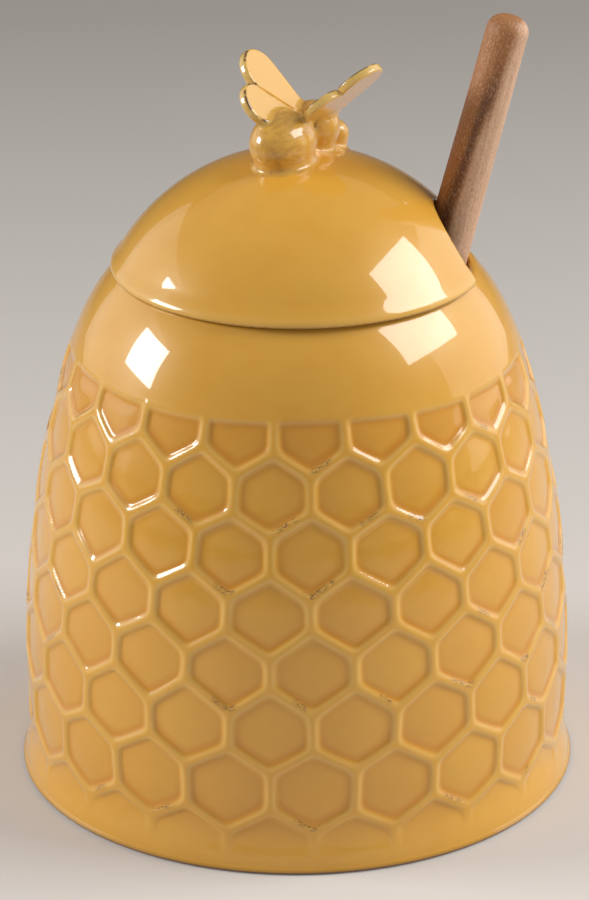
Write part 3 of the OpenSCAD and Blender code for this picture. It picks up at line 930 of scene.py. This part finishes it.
def grey_paper():
    """Matt grey paper, darker towards the wall and to the sides. It glows a little for the eye
    and in reflections, and lights nothing else, so the lamps needn't be raised to make it pale."""
    material, tree, shader = new_material("matt_grey_paper", Roughness=0.9, Specular_IOR_Level=0.2)
    place = add_node(tree, "TexCoord", "Object")
    back = add_node(tree, "SeparateXYZ", "Y", Vector=place)
    back = add_node(tree, "MapRange", "Result", Value=back, From_Min=PAPER_DARKENS_Y[0] * MM,
                    From_Max=PAPER_DARKENS_Y[1] * MM)
    aside = add_node(tree, "SeparateXYZ", "X", Vector=place)
    aside = add_node(tree, "Math", 0, {"operation": "ABSOLUTE"}, _0=aside)
    aside = add_node(tree, "MapRange", "Result", Value=aside, From_Min=PAPER_DARKENS_X[0] * MM,
                     From_Max=PAPER_DARKENS_X[1] * MM)
    base = lay_over(tree, colour("#D5D0CB"), back, 1.0, "#A6A09B")
    base = lay_over(tree, base, aside, 1.0, "#7C7772")
    tree.links.new(base, shader.inputs["Base Color"])
    tree.links.new(base, shader.inputs["Emission Color"])
    eye = add_node(tree, "LightPath", "Is Camera Ray")
    mirrored = add_node(tree, "LightPath", "Is Glossy Ray")
    seen = add_node(tree, "Math", 0, {"operation": "MAXIMUM"}, _0=eye, _1=mirrored)
    glow = add_node(tree, "Math", 0, {"operation": "MULTIPLY"}, _0=seen, _1=PAPER_GLOW)
    tree.links.new(glow, shader.inputs["Emission Strength"])
    return material


# The object

glaze = honey_glaze()
wing_material = wing_glaze()

pot = make_pot()
pot.data.materials.append(glaze)
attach(pot, "pot")
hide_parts("pot")

lid = make_lid()
lid.data.materials.append(glaze)
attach(lid, "lid")
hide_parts("lid")

bee = make_bee_body()
bee.data.materials.append(bee_glaze())
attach(bee, "lid")
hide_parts("bee_abdomen", "bee_thorax", "bee_head")

for side, node in ((-1, "bee_wing_left"), (1, "bee_wing_right")):
    wing = make_wing(side, node + "_glazed")
    wing.data.materials.append(wing_material)
    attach(wing, "lid")
    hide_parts(node)

dipper = make_dipper()
dipper.data.materials.append(turned_wood())
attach(dipper, "dipper")
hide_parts("dipper")


# Floor, backdrop, lamps and camera

def make_sweep():
    """A paper sweep: flat floor, then a wide bend up behind the pot."""
    across = np.linspace(-SWEEP_HALF_W, SWEEP_HALF_W, 9)
    turn = np.radians(np.linspace(6, 90, 15))
    wall_y = BEND_Y + BEND_R
    run = [(y, 0) for y in (SWEEP_FRONT_Y, -1500, 0, 1200, BEND_Y)]
    run += [(BEND_Y + BEND_R * math.sin(a), BEND_R - BEND_R * math.cos(a)) for a in turn]
    run += [(wall_y, 1500), (wall_y, SWEEP_TOP_Z)]
    points = [(x, y, z) for y, z in run for x in across]
    rows, columns = len(run), len(across)
    starts = [r * columns + c for r in range(rows - 1) for c in range(columns - 1)]
    faces = [(s, s + 1, s + columns + 1, s + columns) for s in starts]
    sweep = new_mesh("paper_sweep", points, faces)
    sweep.data.materials.append(grey_paper())


def add_softbox(name, far, azimuth, elevation, roll, width, height, watts):
    """A rectangular lamp that faces the pot's rim; azimuth 0 is the front, 90 the right."""
    lamp = bpy.data.lights.new(name, "AREA")
    lamp.shape = "RECTANGLE"
    lamp.size, lamp.size_y = width * MM, height * MM
    lamp.energy = watts
    box = bpy.data.objects.new(name, lamp)
    a, e = math.radians(azimuth), math.radians(elevation)
    toward = Vector((math.sin(a) * math.cos(e), -math.cos(a) * math.cos(e), math.sin(e)))
    side = Vector((0, 0, 1)).cross(toward).normalized()
    turn = Matrix((side, toward.cross(side), toward)).transposed().to_4x4()
    place = Vector((0, 0, RIM_Z)) * MM + toward * far * MM
    box.matrix_world = (Matrix.Translation(place) @ turn
                        @ Matrix.Rotation(math.radians(roll), 4, "Z"))
    bpy.context.scene.collection.objects.link(box)


def make_air():
    """Pale light from all round, the same for every ray."""
    world = bpy.data.worlds.new("studio_air")
    world.use_nodes = True
    background = world.node_tree.nodes["Background"]
    background.inputs["Color"].default_value = colour("#F6F4F2")
    background.inputs["Strength"].default_value = AIR_STRENGTH
    bpy.context.scene.world = world


def make_camera():
    """Where the photograph was taken from: its place, pitch, roll and lens."""
    data = bpy.data.cameras.new("camera")
    data.sensor_width = SENSOR_W
    data.lens = CAMERA_LENS
    data.clip_end = 20
    camera = bpy.data.objects.new("camera", data)
    camera.matrix_world = (Matrix.Translation(Vector(CAMERA_AT) * MM)
                           @ Matrix.Rotation(math.pi / 2 - CAMERA_DOWN, 4, "X")
                           @ Matrix.Rotation(CAMERA_ROLL, 4, "Z"))
    bpy.context.scene.collection.objects.link(camera)
    bpy.context.scene.camera = camera


make_sweep()
for name, numbers in LAMPS.items():
    add_softbox(name, *numbers)
make_air()
make_camera()
bpy.context.scene.view_settings.view_transform = "Standard"
